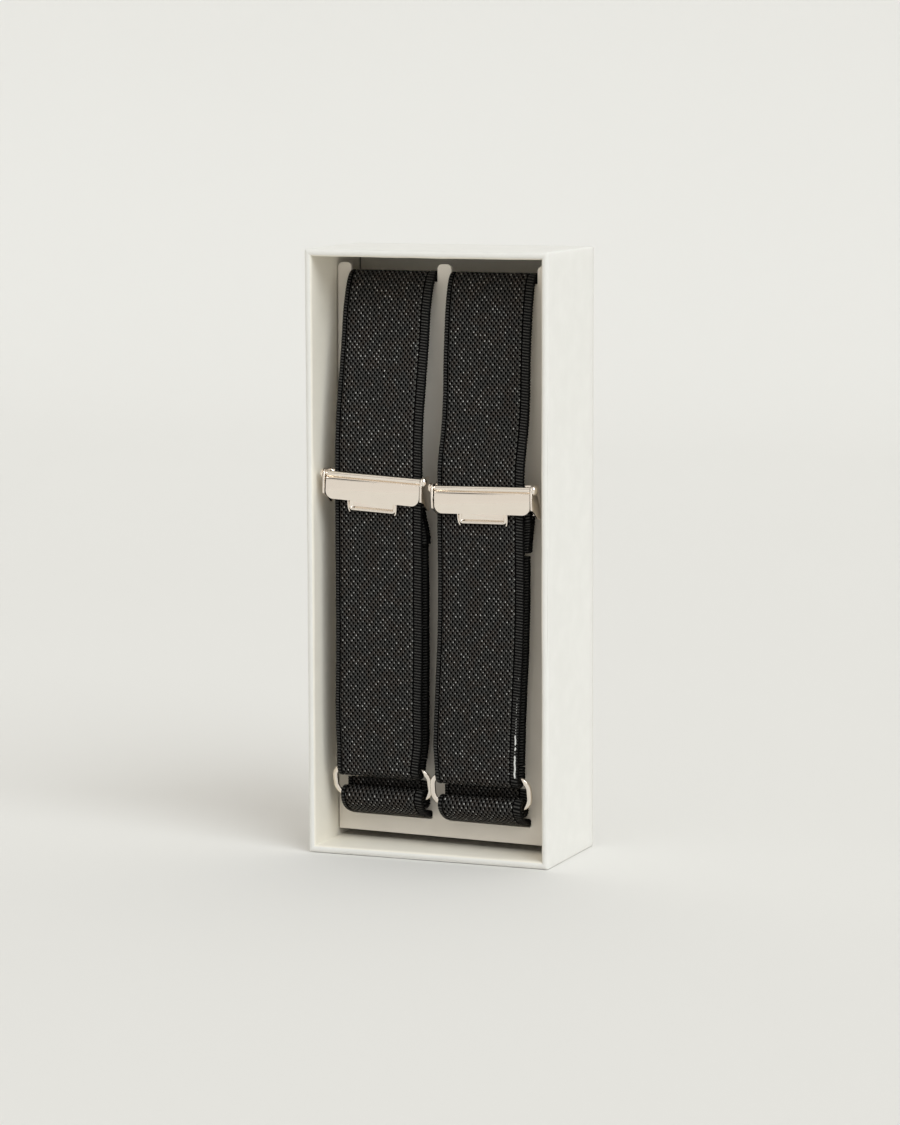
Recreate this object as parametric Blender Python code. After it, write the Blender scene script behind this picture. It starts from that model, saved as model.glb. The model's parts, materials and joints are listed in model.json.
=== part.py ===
"""A pair of elastic sleeve garters, hooked over a card in an open box tray.

Metres, +Z up. The tray stands on its short end and opens towards -Y. The origin is the middle of its base.
A strap is described by its centreline in the YZ plane, and is swept with its width along X.
"""

import math
from dataclasses import dataclass

import bmesh
import bpy
from mathutils import Vector

# Tray
TRAY_WIDTH = 0.070
TRAY_DEPTH = 0.036
TRAY_HEIGHT = 0.165
PAPER = 0.0002
BOARD = 0.0011
GLUE_GAP = 0.00025
WALL = 2 * PAPER + 2 * GLUE_GAP + BOARD
RIM_ROUND = 0.0008
LINER_MARGIN = 0.0003

# Card
CARD_THICKNESS = 0.0008
CARD_LEFT = -0.0326
CARD_RIGHT = 0.0323
CARD_BOTTOM = 0.0041
CARD_TOP = 0.1606
CARD_FRONT_AT_TOP_LEFT = -0.0003
CARD_LEAN = 0.01026
CARD_SKEW = -0.071
CARD_CORNER = 0.0012
NOTCH_BOTTOM = 0.1558
SLOT_BOTTOM = 0.0088
SLOT_TOP = 0.0112
SLOT_WIDTH = 0.0249
SLOT_CORNER = 0.0006

# Strap
STRAP_WIDTH = 0.0254
STRAP_NARROW = 0.0241
STRAP = 0.0014
FIT = 0.0003
TOP_BEND = 0.0023
STRAP_TOP = 0.1580
SLOT_LEVEL = 0.0099
LEAN_START = 0.030
LEAN_END = 0.070
FOLD_START = 0.0225
FOLD_END = 0.032
NARROW_START = 0.0225
NARROW_END = 0.034
JOIN_LEVEL = 0.026
TAIL_TURN = 0.0136
TAIL_TOP = 0.0194

# Ring
RING_HALF_WIDTH = 0.0147
RING_HALF_HEIGHT = 0.0048
RING_STRIP = 0.0014
RING_THICKNESS = 0.0011
RING_CORNER = 0.0038
LOWER_FOLD_INNER = 0.0011

# Adjuster, in its own frame: x along the pin, y backwards, z up, from the middle of the pin
EAR_INNER = 0.0139
EAR = 0.0006
HEAD_GAP = 0.0001
HEAD_LENGTH = 0.00105
HEAD_RADIUS = 0.0014
PIN_RADIUS = 0.0004
EAR_HOLE = 0.0005
KNUCKLE_BORE = 0.0005
KNUCKLE = 0.0008
LEVER_HALF = 0.01365
LEVER_SHEET = 0.0005
LEVER_BOTTOM = -0.0067
LEVER_CORNER = 0.0022
TAB_HALF = 0.0069
TAB_BOTTOM = -0.0094
TAB_CORNER = 0.0009
TAB_RIM = 0.0007
TAB_FRONT = -0.0002
TAB_BACK = 0.00055
TAB_FLOOR = 0.0001
TOOTH_PITCH = 0.0022
TOOTH_COUNT = 11
TOOTH_TIP = 0.00095
TOOTH_ROOT = 0.00035
STRAP_FRONT = 0.00105
ANVIL_FRONT = STRAP_FRONT + STRAP + FIT
ANVIL = 0.0007
ANVIL_TOP = 0.0010
ANVIL_BOTTOM = -0.0022
BAR_FRONT = 0.00435
BAR = 0.0007
BAR_TOP = -0.0053
BAR_BOTTOM = -0.0073
LOOP_RADIUS = 0.0013
LOOP_CENTRE = BAR_FRONT + BAR / 2
LOOP_TOP = -0.0056
LOOP_END = -0.0173
TAIL_Y = 0.00435
STITCH_RADIUS = 0.00022
STITCH_TOP = -0.0125
STITCH_BOTTOM = -0.0155
STITCH_HALF = 0.0105
STITCH_TURNS = 14
RETURN_GAP = 0.0010

ROUND_STEPS = 8
COLOURS = {
    "paper": ((0.84, 0.83, 0.80), 0.75, 0.0),
    "greyboard": ((0.40, 0.38, 0.35), 0.85, 0.0),
    "card": ((0.78, 0.75, 0.70), 0.60, 0.0),
    "webbing": ((0.015, 0.015, 0.014), 0.70, 0.0),
    "thread": ((0.02, 0.02, 0.02), 0.60, 0.0),
    "nickel": ((0.72, 0.68, 0.62), 0.18, 1.0),
}


@dataclass
class Garter:
    """Where one garter lies. Each y and z is of a centreline or a centre."""

    side: str
    strap_x: float
    strap_width: float
    fold_x: float
    loop_shift: float
    front_y: float
    straight_top: float
    shoulder: tuple
    back_top_y: float
    back_bottom_y: float
    ring: tuple
    ring_tilt: float
    upper_fold_y: float
    upper_fold_inner: float
    adjuster_x: float
    pin_z: float
    roll: float

    def ring_bar(self, side):
        """(y, z) of the upper (+1) or lower (-1) bar's middle."""
        reach = side * (RING_HALF_HEIGHT - RING_STRIP / 2)
        y = self.ring[1] - reach * math.sin(self.ring_tilt)
        z = self.ring[2] + reach * math.cos(self.ring_tilt)
        return y, z

    def pin_y(self):
        return self.front_y - STRAP / 2 - STRAP_FRONT


GARTERS = (
    Garter(
        side="left",
        strap_x=-0.01553,
        strap_width=0.0254,
        fold_x=-0.0159,
        loop_shift=0.0022,
        front_y=-0.0132,
        straight_top=0.106,
        shoulder=((-0.0132, 0.118), (-0.0096, 0.130), (-0.0074, 0.144), (-0.0063, 0.151), (-0.0043, STRAP_TOP)),
        back_top_y=0.0013,
        back_bottom_y=-0.0003,
        ring=(-0.0164, -0.0093, 0.0192),
        ring_tilt=math.radians(15),
        upper_fold_y=-0.0102,
        upper_fold_inner=0.0017,
        adjuster_x=-0.0162,
        pin_z=0.1035,
        roll=math.radians(3.0),
    ),
    Garter(
        side="right",
        strap_x=0.01435,
        strap_width=0.0248,
        fold_x=0.01295,
        loop_shift=-0.0010,
        front_y=-0.0138,
        straight_top=0.105,
        shoulder=((-0.0138, 0.111), (-0.0098, 0.116), (-0.0092, 0.130), (-0.0088, 0.144), (-0.0072, STRAP_TOP)),
        back_top_y=-0.0009,
        back_bottom_y=-0.0025,
        ring=(0.0132, -0.0113, 0.0189),
        ring_tilt=math.radians(10),
        upper_fold_y=-0.0119,
        upper_fold_inner=0.0015,
        adjuster_x=0.0155,
        pin_z=0.1016,
        roll=math.radians(-0.7),
    ),
)


def material(name):
    """The named material, made once."""
    found = bpy.data.materials.get(name)
    if found:
        return found
    colour, roughness, metallic = COLOURS[name]
    made = bpy.data.materials.new(name)
    made.use_nodes = True
    shader = made.node_tree.nodes["Principled BSDF"]
    shader.inputs["Base Color"].default_value = (*colour, 1.0)
    shader.inputs["Roughness"].default_value = roughness
    shader.inputs["Metallic"].default_value = metallic
    return made


def add_object(name, mesh, material_name, parent=None):
    if material_name:
        mesh.materials.clear()
        mesh.materials.append(material(material_name))
    made = bpy.data.objects.new(name, mesh)
    made.parent = parent
    bpy.context.collection.objects.link(made)
    return made


def mesh_from(name, points, faces):
    mesh = bpy.data.meshes.new(name)
    shape = bmesh.new()
    corners = [shape.verts.new(point) for point in points]
    for face in faces:
        shape.faces.new([corners[i] for i in face])
    bmesh.ops.recalc_face_normals(shape, faces=shape.faces)
    shape.to_mesh(mesh)
    shape.free()
    return mesh


def smooth(mesh, angle=40):
    mesh.shade_smooth()
    mesh.set_sharp_from_angle(angle=math.radians(angle))
    return mesh


def arc(centre, radius, start, end, steps=ROUND_STEPS):
    """Points on an arc, with its angles in degrees from the first axis towards the second."""
    angles = [math.radians(start + (end - start) * i / steps) for i in range(steps + 1)]
    return [(centre[0] + radius * math.cos(a), centre[1] + radius * math.sin(a)) for a in angles]


def curve(a, b, c, d, steps=12):
    """Points on a cubic Bezier curve from a to d."""
    points = []
    for i in range(steps + 1):
        t = i / steps
        weights = ((1 - t) ** 3, 3 * t * (1 - t) ** 2, 3 * t * t * (1 - t), t**3)
        points.append(tuple(sum(w * p[k] for w, p in zip(weights, (a, b, c, d))) for k in (0, 1)))
    return points


def without_repeats(points, least=0.00005):
    kept = [points[0]]
    for point in points[1:]:
        if math.dist(point, kept[-1]) > least:
            kept.append(point)
    return kept


def ease(value, start, end):
    """0 at start, 1 at end, with a smooth step between."""
    t = min(1.0, max(0.0, (value - start) / (end - start)))
    return t * t * (3 - 2 * t)


def rounded_outline(left, right, bottom, top, radius, steps=4):
    """A closed outline, counterclockwise, of a rectangle with round corners."""
    corners = (
        (right - radius, bottom + radius, -90),
        (right - radius, top - radius, 0),
        (left + radius, top - radius, 90),
        (left + radius, bottom + radius, 180),
    )
    points = []
    for x, z, start in corners:
        points += arc((x, z), radius, start, start + 90, steps)
    return points


def plate_mesh(name, outline, front, back, holes=()):
    """A plate in the XZ plane. front and back give its y at (x, z)."""
    shape = bmesh.new()
    edges = []
    for loop in (outline, *holes):
        corners = [shape.verts.new((x, front(x, z), z)) for x, z in loop]
        edges += [shape.edges.new((a, b)) for a, b in zip(corners, corners[1:] + corners[:1])]
    bmesh.ops.triangle_fill(shape, use_beauty=True, edges=edges, normal=(0, -1, 0))
    faces = list(shape.faces)
    extruded = bmesh.ops.extrude_face_region(shape, geom=faces)
    for item in extruded["geom"]:
        if isinstance(item, bmesh.types.BMVert):
            item.co.y = back(item.co.x, item.co.z)
    bmesh.ops.recalc_face_normals(shape, faces=shape.faces)
    mesh = bpy.data.meshes.new(name)
    shape.to_mesh(mesh)
    shape.free()
    return mesh


def flat_plate(name, outline, front, back, holes=()):
    return plate_mesh(name, outline, lambda x, z: front, lambda x, z: back, holes)


def side_plate(name, outline, left, right):
    """A plate in the YZ plane, from x = left to x = right."""
    count = len(outline)
    points = [(left, y, z) for y, z in outline] + [(right, y, z) for y, z in outline]
    faces = [list(range(count)), list(range(count, 2 * count))]
    for i in range(count):
        j = (i + 1) % count
        faces.append([i, j, count + j, count + i])
    return mesh_from(name, points, faces)


def box_mesh(name, low, high):
    outline = ((low[1], low[2]), (high[1], low[2]), (high[1], high[2]), (low[1], high[2]))
    return side_plate(name, outline, low[0], high[0])


def loft(name, loops):
    """A closed surface through loops of equal length, with both ends filled."""
    count = len(loops[0])
    points = [point for loop in loops for point in loop]
    faces = [list(range(count)), [len(points) - count + i for i in range(count)]]
    for row in range(len(loops) - 1):
        for i in range(count):
            j = (i + 1) % count
            a = row * count
            faces.append([a + i, a + j, a + count + j, a + count + i])
    return mesh_from(name, points, faces)


def turned(name, profile, steps=20):
    """A solid of revolution about X, from (x, radius) points that start and end at radius 0."""
    loops = []
    for x, radius in profile[1:-1]:
        angles = [2 * math.pi * i / steps for i in range(steps)]
        loops.append([(x, radius * math.cos(a), radius * math.sin(a)) for a in angles])
    return loft(name, loops)


def swept_strap(name, path, width, middle, thickness=STRAP):
    """A strap along path, a list of (y, z). width and middle give its width and centre x at (y, z)."""
    path = without_repeats(path)
    loops = []
    for i, (y, z) in enumerate(path):
        before = path[max(i - 1, 0)]
        after = path[min(i + 1, len(path) - 1)]
        along = Vector((after[0] - before[0], after[1] - before[1])).normalized()
        out = Vector((-along.y, along.x)) * thickness / 2
        half = width(y, z) / 2
        x = middle(y, z)
        corners = ((-half, -1), (half, -1), (half, 1), (-half, 1))
        loops.append([(x + dx, y + side * out.x, z + side * out.y) for dx, side in corners])
    return loft(name, loops)


def fused(name, base, additions=(), cuts=()):
    """The mesh of base with the additions joined and the cuts taken away."""
    target = bpy.data.objects.new(name, base)
    bpy.context.collection.objects.link(target)
    helpers = []
    for operation, meshes in (("UNION", additions), ("DIFFERENCE", cuts)):
        for mesh in meshes:
            helper = bpy.data.objects.new(name + "_tool", mesh)
            bpy.context.collection.objects.link(helper)
            helpers.append(helper)
            modifier = target.modifiers.new(operation.lower(), "BOOLEAN")
            modifier.operation = operation
            modifier.object = helper
    bpy.context.view_layer.update()
    graph = bpy.context.evaluated_depsgraph_get()
    result = bpy.data.meshes.new_from_object(target.evaluated_get(graph))
    result.name = name
    for helper in (target, *helpers):
        bpy.data.objects.remove(helper)
    return result


# ---- tray ----


def rectangle(inset, y):
    """A loop at y, this far in from the tray's four outer sides."""
    x = TRAY_WIDTH / 2 - inset
    low = inset
    high = TRAY_HEIGHT - inset
    return [(-x, y, low), (x, y, low), (x, y, high), (-x, y, high)]


def make_tray():
    front = -TRAY_DEPTH / 2
    back = TRAY_DEPTH / 2
    floor = back - WALL
    rim = arc((RIM_ROUND, front + RIM_ROUND), RIM_ROUND, 180, 270, 3)
    rim += [(WALL - inset, y) for inset, y in reversed(rim)]
    loops = [rectangle(0, back)]
    loops += [rectangle(inset, y) for inset, y in rim]
    loops.append(rectangle(WALL, floor - FIT))
    loops.append(rectangle(WALL - PAPER, floor - FIT))
    loops.append(rectangle(WALL - PAPER, front + 2 * PAPER))
    loops.append(rectangle(PAPER, front + 2 * PAPER))
    loops.append(rectangle(PAPER, back - PAPER))
    add_object("tray_wrap", loft("tray_wrap", loops), "paper")

    skin = PAPER + GLUE_GAP
    board_front = front + 2 * PAPER + GLUE_GAP
    loops = [
        rectangle(skin, back - skin),
        rectangle(skin, board_front),
        rectangle(skin + BOARD, board_front),
        rectangle(skin + BOARD, back - skin - BOARD),
    ]
    add_object("tray_board", loft("tray_board", loops), "greyboard")

    margin = WALL + LINER_MARGIN
    liner = loft("base_liner", [rectangle(margin, floor), rectangle(margin, floor + PAPER)])
    add_object("base_liner", liner, "paper")


# ---- card ----


def card_front(x, z):
    """The card's front face leans back towards its top and comes forward towards its right."""
    return CARD_FRONT_AT_TOP_LEFT - CARD_LEAN * (CARD_TOP - z) + CARD_SKEW * (x - CARD_LEFT)


def card_outline():
    """The card's edge, with a notch for each strap. The tabs between the notches have round corners."""
    r = CARD_CORNER
    outline = [(CARD_LEFT, CARD_BOTTOM), (CARD_RIGHT, CARD_BOTTOM)]
    tabs_right_to_left = []
    right = CARD_RIGHT
    for garter in reversed(GARTERS):
        notch = garter.strap_width / 2 + FIT
        tabs_right_to_left.append((garter.strap_x + notch, right))
        right = garter.strap_x - notch
    tabs_right_to_left.append((CARD_LEFT, right))
    for left, right in tabs_right_to_left:
        if right != CARD_RIGHT:
            outline.append((right, NOTCH_BOTTOM))
        outline += arc((right - r, CARD_TOP - r), r, 0, 90, 4)
        outline += arc((left + r, CARD_TOP - r), r, 90, 180, 4)
        if left != CARD_LEFT:
            outline.append((left, NOTCH_BOTTOM))
    return outline


def make_card():
    slots = []
    for garter in GARTERS:
        x = garter.ring[0]
        half = SLOT_WIDTH / 2
        slots.append(rounded_outline(x - half, x + half, SLOT_BOTTOM, SLOT_TOP, SLOT_CORNER))
    mesh = plate_mesh(
        "card_insert",
        card_outline(),
        card_front,
        lambda x, z: card_front(x, z) + CARD_THICKNESS,
        slots,
    )
    add_object("card_insert", mesh, "card")


# ---- straps ----


def strap_shape(garter):
    """The strap's width and centre, which both follow its height: it narrows and leans towards the ring."""

    def width(y, z):
        return STRAP_NARROW + (garter.strap_width - STRAP_NARROW) * ease(z, NARROW_START, NARROW_END)

    def middle(y, z):
        x = garter.ring[0] + (garter.fold_x - garter.ring[0]) * ease(z, FOLD_START, FOLD_END)
        return x + (garter.strap_x - garter.fold_x) * ease(z, LEAN_START, LEAN_END)

    return width, middle


def bar_reach(tilt):
    """Half the height of a ring bar's oval section, for a ring tilted about X."""
    return math.hypot(RING_STRIP / 2 * math.cos(tilt), RING_THICKNESS / 2 * math.sin(tilt))


def band_path(garter):
    """The centreline from behind the ring, up the front, over and behind the card, and back to the ring.

    It ends as a tail that is folded up in front of the card, behind the ring.
    """
    reach = bar_reach(garter.ring_tilt)

    upper_y = garter.upper_fold_y
    upper_z = garter.ring_bar(1)[1] - reach - FIT + garter.upper_fold_inner
    radius = garter.upper_fold_inner + STRAP / 2
    path = [(upper_y + radius, JOIN_LEVEL)]
    path += arc((upper_y, upper_z), radius, 0, -180, 14)
    front = upper_y - radius
    path += curve((front, upper_z + 0.001), (front, 0.034), (garter.front_y, 0.038), (garter.front_y, 0.050))

    # Closely spaced while the strap leans, so that the adjuster's travel stays over a straight strap.
    path += [(garter.front_y, LEAN_END + (0.050 - LEAN_END) * (3 - i) / 4) for i in range(4)]
    start = (garter.front_y, garter.straight_top)
    first, second, middle, third, fourth = garter.shoulder
    top = (garter.back_top_y - TOP_BEND, STRAP_TOP)
    path += curve(start, first, second, middle)
    path += curve(middle, third, fourth, top)
    path += arc((top[0], STRAP_TOP - TOP_BEND), TOP_BEND, 90, 0)

    slot_centre = (garter.back_bottom_y - TOP_BEND, SLOT_LEVEL + TOP_BEND)
    path += arc(slot_centre, TOP_BEND, 0, -90)

    bar_y, bar_z = garter.ring_bar(-1)
    lower_z = bar_z + reach + FIT - LOWER_FOLD_INNER
    radius = LOWER_FOLD_INNER + STRAP / 2
    front = bar_y - radius
    path += curve(
        (slot_centre[0], SLOT_LEVEL),
        (slot_centre[0] - 0.0022, SLOT_LEVEL + 0.0001),
        (front + 0.0005, SLOT_LEVEL + 0.0019),
        (front, lower_z),
    )
    path += arc((bar_y, lower_z), radius, 180, 0, 12)
    tail_y = card_front(garter.ring[0] + STRAP_NARROW / 2, TAIL_TURN) - FIT - STRAP / 2
    turn = (tail_y - bar_y - radius) / 2
    path += arc((tail_y - turn, TAIL_TURN), turn, -180, 0)
    path.append((tail_y, TAIL_TOP))
    return path


def make_straps(garter):
    width, middle = strap_shape(garter)
    band = swept_strap("elastic_band", band_path(garter), width, middle)
    add_object("elastic_band_" + garter.side, smooth(band), "webbing")

    low = (garter.upper_fold_y + garter.upper_fold_inner + STRAP / 2, JOIN_LEVEL + FIT)
    high = (garter.pin_y() + LOOP_CENTRE + LOOP_RADIUS, garter.pin_z + LOOP_END - RETURN_GAP)
    steps = 6
    path = [tuple(a + (b - a) * i / steps for a, b in zip(low, high)) for i in range(steps + 1)]
    layer = swept_strap("return_layer", path, width, middle)
    add_object("return_layer_" + garter.side, smooth(layer), "webbing")


# ---- ring ----


def make_ring(garter):
    """An oval section swept round a rectangle with round corners, in the plane of the tilted ring."""
    half_strip = RING_STRIP / 2
    x = RING_HALF_WIDTH - half_strip
    z = RING_HALF_HEIGHT - half_strip
    radius = RING_CORNER - half_strip
    route = rounded_outline(-x, x, -z, z, radius, 8)
    sides = 10
    loops = []
    for i, here in enumerate(route):
        before = Vector(route[i - 1])
        after = Vector(route[(i + 1) % len(route)])
        along = (after - before).normalized()
        out = Vector((along.y, -along.x))
        loop = []
        for k in range(sides):
            angle = 2 * math.pi * k / sides
            shift = out * half_strip * math.cos(angle)
            depth = RING_THICKNESS / 2 * math.sin(angle)
            loop.append((here[0] + shift.x, depth, here[1] + shift.y))
        loops.append(loop)
    points = [point for loop in loops for point in loop]
    faces = []
    for i in range(len(loops)):
        for k in range(sides):
            a = i * sides
            b = (i + 1) % len(loops) * sides
            faces.append([a + k, a + (k + 1) % sides, b + (k + 1) % sides, b + k])
    ring = add_object("oval_ring_" + garter.side, smooth(mesh_from("oval_ring", points, faces), 60), "nickel")
    ring.location = garter.ring
    ring.rotation_euler = (garter.ring_tilt, 0, 0)


# ---- adjuster ----


def frame_mesh():
    """Two ears, joined by the anvil plate that backs the teeth and by the bar that holds the strap's end."""
    outline = arc((0, 0), 0.00125, 60, 180, 6)
    outline += [(-0.0011, -0.0050), (-0.0006, -0.0056), (0.0009, -0.0062), (0.0036, -0.0080)]
    outline += arc((0.0048, -0.0076), 0.0007, -90, 0, 3)
    outline += [(0.0055, -0.0046), (0.0042, 0.0004)]
    outline += arc((0.0035, 0.0007), 0.0006, 20, 90, 3)
    ears = []
    for left in (-EAR_INNER - EAR, EAR_INNER):
        ears.append(side_plate("ear", outline, left, left + EAR))
    overlap = EAR / 2
    reach = EAR_INNER + overlap
    anvil = box_mesh("anvil", (-reach, ANVIL_FRONT, ANVIL_BOTTOM), (reach, ANVIL_FRONT + ANVIL, ANVIL_TOP))
    bar = box_mesh("bar", (-reach, BAR_FRONT, BAR_BOTTOM), (reach, BAR_FRONT + BAR, BAR_TOP))
    end = EAR_INNER + 2 * EAR
    hole = turned("hole", [(-end, 0), (-end, EAR_HOLE), (end, EAR_HOLE), (end, 0)])
    return fused("adjuster_frame", anvil, (bar, *ears), (hole,))


def lever_mesh():
    """A plate rolled round the pin at its top, with teeth behind the roll and a dished finger tab below."""
    half = LEVER_HALF
    tube = turned("knuckle", [(-half, 0), (-half, KNUCKLE), (half, KNUCKLE), (half, 0)], 24)
    corner = LEVER_CORNER
    outline = arc((half - corner, LEVER_BOTTOM + corner), corner, -90, 0, 6)
    outline += [(half, 0), (-half, 0)]
    outline += arc((-half + corner, LEVER_BOTTOM + corner), corner, 180, 270, 6)
    plate = flat_plate("plate", outline, -KNUCKLE, -KNUCKLE + LEVER_SHEET)

    overlap = LEVER_SHEET
    tab_top = LEVER_BOTTOM + overlap
    outer = rounded_outline(-TAB_HALF, TAB_HALF, TAB_BOTTOM, tab_top, TAB_CORNER)
    tab = flat_plate("tab", outer, TAB_FRONT, TAB_BACK)
    web = box_mesh("web", (-TAB_HALF, -KNUCKLE + 0.0001, LEVER_BOTTOM + 0.0001), (TAB_HALF, TAB_BACK, tab_top))
    inner = TAB_HALF - TAB_RIM
    dish_outline = rounded_outline(
        -inner, inner, TAB_BOTTOM + TAB_RIM, LEVER_BOTTOM - 0.0001, TAB_CORNER - TAB_RIM / 2
    )
    dish = flat_plate("dish", dish_outline, 2 * TAB_FRONT, TAB_FLOOR)

    reach = TOOTH_PITCH * TOOTH_COUNT / 2
    comb = [(reach, 0.0002), (-reach, 0.0002)]
    for i in range(TOOTH_COUNT):
        left = -reach + i * TOOTH_PITCH
        comb += [(left, TOOTH_ROOT), (left + TOOTH_PITCH / 2, TOOTH_TIP)]
    comb.append((reach, TOOTH_ROOT))
    count = len(comb)
    points = [(x, y, z) for z in (-0.0007, -0.0003) for x, y in comb]
    faces = [list(range(count)), list(range(count, 2 * count))]
    for i in range(count):
        j = (i + 1) % count
        faces.append([i, j, count + j, count + i])
    teeth = mesh_from("teeth", points, faces)

    end = 1.2 * half
    bore = turned("bore", [(-end, 0), (-end, KNUCKLE_BORE), (end, KNUCKLE_BORE), (end, 0)], 24)
    return fused("adjuster_lever", tube, (plate, web, tab, teeth), (bore, dish))


def pin_mesh():
    """A plain shaft with a domed head outside each ear."""
    base = EAR_INNER + EAR + HEAD_GAP
    dome = arc((0, 0), 1.0, 0, 90, 5)
    right = [(base + HEAD_LENGTH * along, HEAD_RADIUS * up) for along, up in reversed(dome)]
    profile = [(-x, radius) for x, radius in reversed(right)]
    profile[0] = (profile[0][0], HEAD_RADIUS / 8)
    profile += [(-base, PIN_RADIUS), (base, PIN_RADIUS)]
    right[-1] = (right[-1][0], HEAD_RADIUS / 8)
    profile += right
    return turned("lever_pin", [(profile[0][0], 0), *profile, (profile[-1][0], 0)])


def end_loop_path():
    """The strap's end, up behind the bar, over it, and down in front of it to the end of the tail."""
    y = LOOP_CENTRE + LOOP_RADIUS
    front = LOOP_CENTRE - LOOP_RADIUS
    path = [(y, LOOP_END)]
    path += arc((LOOP_CENTRE, LOOP_TOP), LOOP_RADIUS, 0, 180, 10)
    below = BAR_BOTTOM - FIT
    path += curve((front, below), (front, below - 0.002), (TAIL_Y, below - 0.0015), (TAIL_Y, below - 0.0035), 6)
    path.append((TAIL_Y, LOOP_END))
    return path


def stitching_curve(shift):
    """A zigzag of thread on the back of the end loop, this far to the right."""
    data = bpy.data.curves.new("adjuster_stitching", "CURVE")
    data.dimensions = "3D"
    data.bevel_depth = STITCH_RADIUS
    data.bevel_resolution = 1
    data.use_fill_caps = True
    spline = data.splines.new("POLY")
    spline.points.add(2 * STITCH_TURNS)
    y = LOOP_CENTRE + LOOP_RADIUS + STRAP / 2 + FIT + STITCH_RADIUS
    for i, point in enumerate(spline.points):
        x = shift - STITCH_HALF + STITCH_HALF * i / STITCH_TURNS
        z = STITCH_TOP if i % 2 else STITCH_BOTTOM
        point.co = (x, y, z, 1)
    data.materials.append(material("thread"))
    return data


def make_adjusters():
    """Both adjusters share their metal meshes. Each hangs on an empty at the middle of its pin."""
    nickel = {
        "adjuster_frame": smooth(frame_mesh(), 30),
        "adjuster_lever": smooth(lever_mesh(), 30),
        "lever_pin": smooth(pin_mesh(), 50),
    }
    for garter in GARTERS:
        axis = bpy.data.objects.new("adjuster_axis_" + garter.side, None)
        bpy.context.collection.objects.link(axis)
        axis.location = (garter.adjuster_x, garter.pin_y(), garter.pin_z)
        axis.rotation_euler = (0, garter.roll, 0)
        for name, mesh in nickel.items():
            add_object(name + "_" + garter.side, mesh, "nickel", axis)

        def drift(y, z):
            return garter.loop_shift * ease(z, LOOP_TOP, LOOP_END)

        loop = swept_strap("end_loop", end_loop_path(), lambda y, z: STRAP_WIDTH, drift)
        add_object("adjuster_end_loop_" + garter.side, smooth(loop), "webbing", axis)
        stitching = stitching_curve(drift(0, STITCH_BOTTOM))
        thread = bpy.data.objects.new("adjuster_stitching_" + garter.side, stitching)
        thread.parent = axis
        bpy.context.collection.objects.link(thread)


def main():
    for old in list(bpy.data.objects):
        bpy.data.objects.remove(old)
    make_tray()
    make_card()
    for garter in GARTERS:
        make_straps(garter)
        make_ring(garter)
    make_adjusters()


main()
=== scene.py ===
"""Looks for a boxed pair of elastic sleeve garters.

A paper-wrapped tray, a die-cut card, woven straps and nickel fittings.

Metres, +Z up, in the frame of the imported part. A strap is swept along the same centreline as its CAD solid.
Patterns on a strap read the "weave" attribute: millimetres across it and along it.
"""

import json
import math
import random
from dataclasses import dataclass

import bmesh
import bpy
import numpy as np
from mathutils import Matrix, Vector, noise


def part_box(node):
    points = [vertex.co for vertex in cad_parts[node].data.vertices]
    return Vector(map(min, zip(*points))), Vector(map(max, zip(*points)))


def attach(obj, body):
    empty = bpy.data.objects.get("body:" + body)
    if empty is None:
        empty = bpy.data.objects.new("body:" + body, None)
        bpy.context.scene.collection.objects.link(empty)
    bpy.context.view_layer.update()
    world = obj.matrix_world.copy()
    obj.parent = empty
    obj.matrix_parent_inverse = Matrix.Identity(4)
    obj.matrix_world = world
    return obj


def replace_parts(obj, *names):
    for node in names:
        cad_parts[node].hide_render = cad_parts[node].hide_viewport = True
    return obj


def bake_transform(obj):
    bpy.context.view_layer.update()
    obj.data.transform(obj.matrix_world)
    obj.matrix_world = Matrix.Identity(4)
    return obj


MM = 0.001

# Camera and studio
CAMERA_AT = (0.398346, -0.997264, 0.215582)
CAMERA_YAW = math.radians(21.78)
CAMERA_PITCH = math.radians(7.229)
CAMERA_ROLL = math.radians(-0.187)
CAMERA_LENS = 127.2
FLOOR_HALF = 3.0
FLOOR_BACK = 1.1
FLOOR_CURVE = 0.6
BACKDROP_HEIGHT = 2.6
KEY_TURN = math.radians(55)
KEY_HEIGHT = math.radians(42)
KEY_SPREAD = math.radians(40)
KEY_STRENGTH = 1.45
KEY_COLOUR = (0.90, 0.96, 1.0)
ROOM_COLOUR = (1.0, 0.970, 0.915)
ROOM_LEVELS = (
    (0.0, 0.82),
    (0.50, 0.80),
    (0.52, 0.77),
    (0.655, 0.77),
    (0.670, 0.05),
    (0.715, 0.05),
    (0.730, 0.77),
    (1.0, 0.71),
)

# Tray
PAPER = 0.0002
WALL = 0.0020
RIM_ROUND = 0.00095
OUTER_CORNER = 0.0006
LINER_GAP = 0.0003
BACK_ROUND = 0.0004
RIM_WAVE = 0.00022

# Card
CARD_THICKNESS = 0.0008
CARD_FRONT_AT_TOP_LEFT = -0.0003
CARD_LEAN = 0.01026
CARD_SKEW = -0.071
CARD_CORNER = 0.0014
CARD_BEVEL = 0.00013
NOTCH_BOTTOM = 0.1558
SLOT_BOTTOM = 0.0088
SLOT_TOP = 0.0112
SLOT_WIDTH = 0.0249
SLOT_CORNER = 0.0006

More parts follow.
